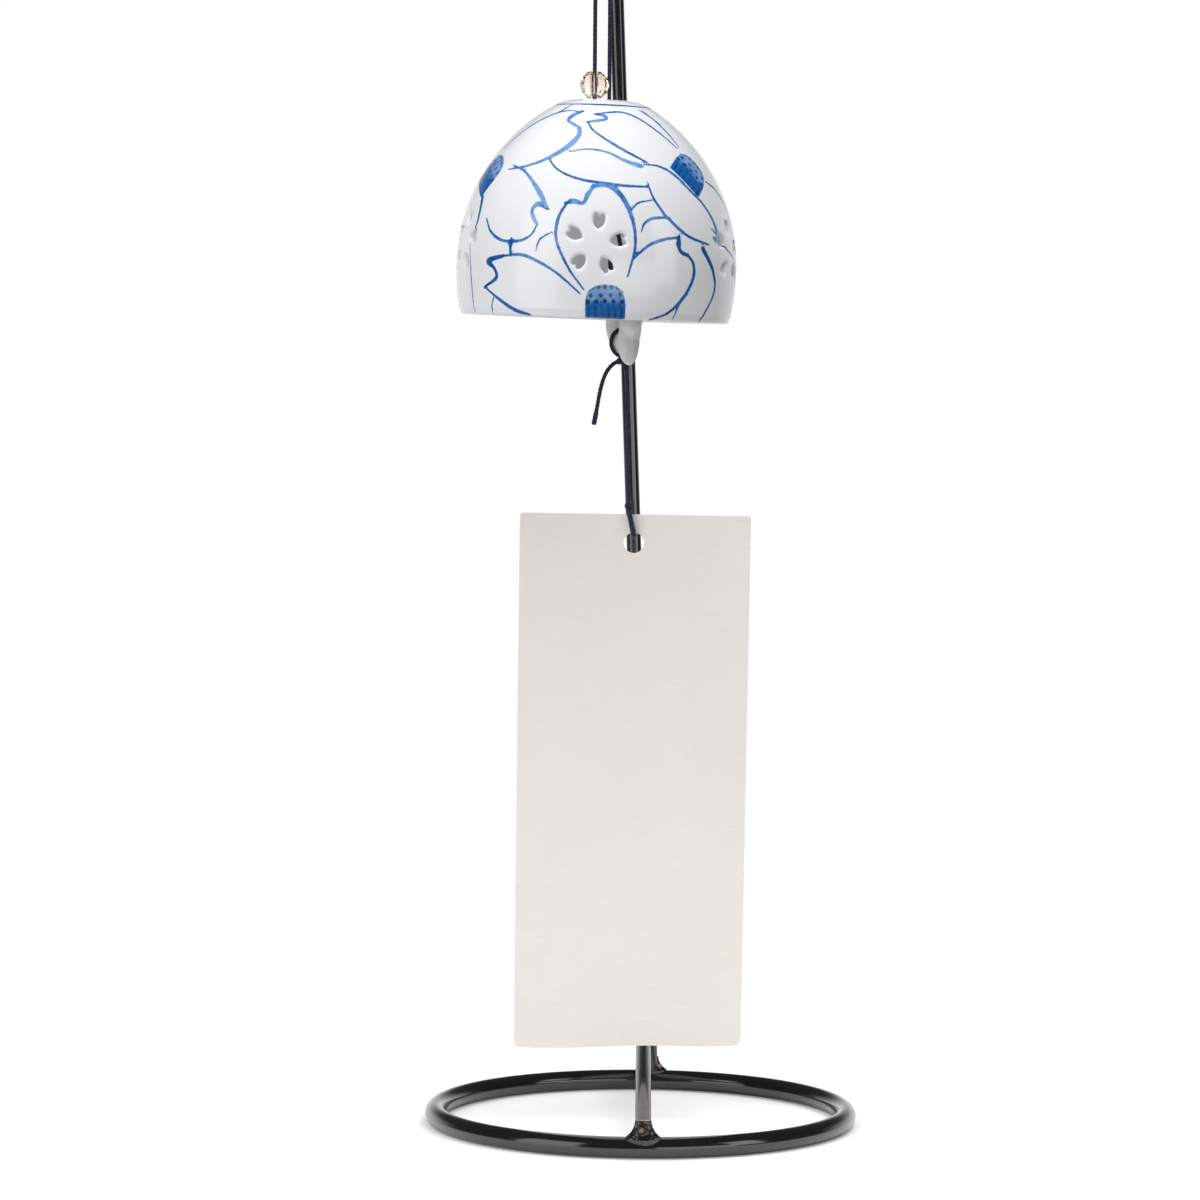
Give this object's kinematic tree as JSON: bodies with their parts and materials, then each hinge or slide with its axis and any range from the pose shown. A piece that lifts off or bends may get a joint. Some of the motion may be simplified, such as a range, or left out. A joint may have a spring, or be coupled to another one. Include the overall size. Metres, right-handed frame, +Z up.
{
  "type": "wind bell on a stand",
  "caption": "Porcelain wind bell with pierced flowers, a clay clapper and a paper strip, hung by a cord loop from the hook of a wire stand.",
  "frame": {"origin": "centre of the base ring, on the table", "axes": "+Z up, +Y from the front of the ring to the upright's foot, +X to the viewer's right"},
  "size_m": [0.1124, 0.1124, 0.338],
  "materials": {
    "black_enamel": "gloss black enamel over steel wire",
    "weld": "rough weld under the same black enamel",
    "navy_cord": "matt braided cord",
    "crystal": "faceted, clear champagne",
    "porcelain": "white gloss glaze with cobalt blue painting",
    "bisque": "unglazed, matt",
    "paper": "matt, off-white"
  },
  "bodies": {
    "stand": {"base_ring": "black_enamel", "upright": "black_enamel", "front_brace": "black_enamel", "weld_front": "weld", "weld_back": "weld", "weld_brace": "weld"},
    "hanger": {"hanging_loop": "navy_cord", "crystal_bead": "crystal"},
    "bell": {"bell_shell": "porcelain", "crown_knot": "navy_cord"},
    "clapper_line": {"clapper_cord": "navy_cord"},
    "clapper": {"clapper": "bisque"},
    "strip_line": {"strip_cord": "navy_cord"},
    "strip": {"paper_strip": "paper", "strip_tie": "navy_cord"}
  },
  "joints": [
    {"name": "hanger_swing", "type": "hinge", "parent": "stand", "child": "hanger", "pos_m": [-0.0121, 0, 0.303], "axis": [0.7431, -0.6691, 0], "range_deg": [-12, 12]},
    {"name": "bell_tilt", "type": "hinge", "parent": "hanger", "child": "bell", "pos_m": [-0.0121, 0, 0.2641], "axis": [-0.6691, -0.7431, 0], "range_deg": [-7, 7]},
    {"name": "clapper_swing", "type": "hinge", "parent": "bell", "child": "clapper_line", "pos_m": [-0.0109, 0, 0.25952], "axis": [0.9263, 0.3742, 0.0437], "range_deg": [-18, 12]},
    {"name": "clapper_rock", "type": "hinge", "parent": "clapper_line", "child": "clapper", "pos_m": [-0.00677, 0, 0.22382], "axis": [-0.3738, 0.9273, -0.0176], "range_deg": [-16, 16]},
    {"name": "strip_swing", "type": "hinge", "parent": "clapper", "child": "strip_line", "pos_m": [-0.00581, 0, 0.20334], "axis": [-0.3738, 0.9273, -0.0176], "range_deg": [-25, 25]},
    {"name": "strip_twist", "type": "hinge", "parent": "strip_line", "child": "strip", "pos_m": [-0.00436, 0, 0.16184], "axis": [0, 0, 1], "range_deg": [-90, 90]}
  ]
}
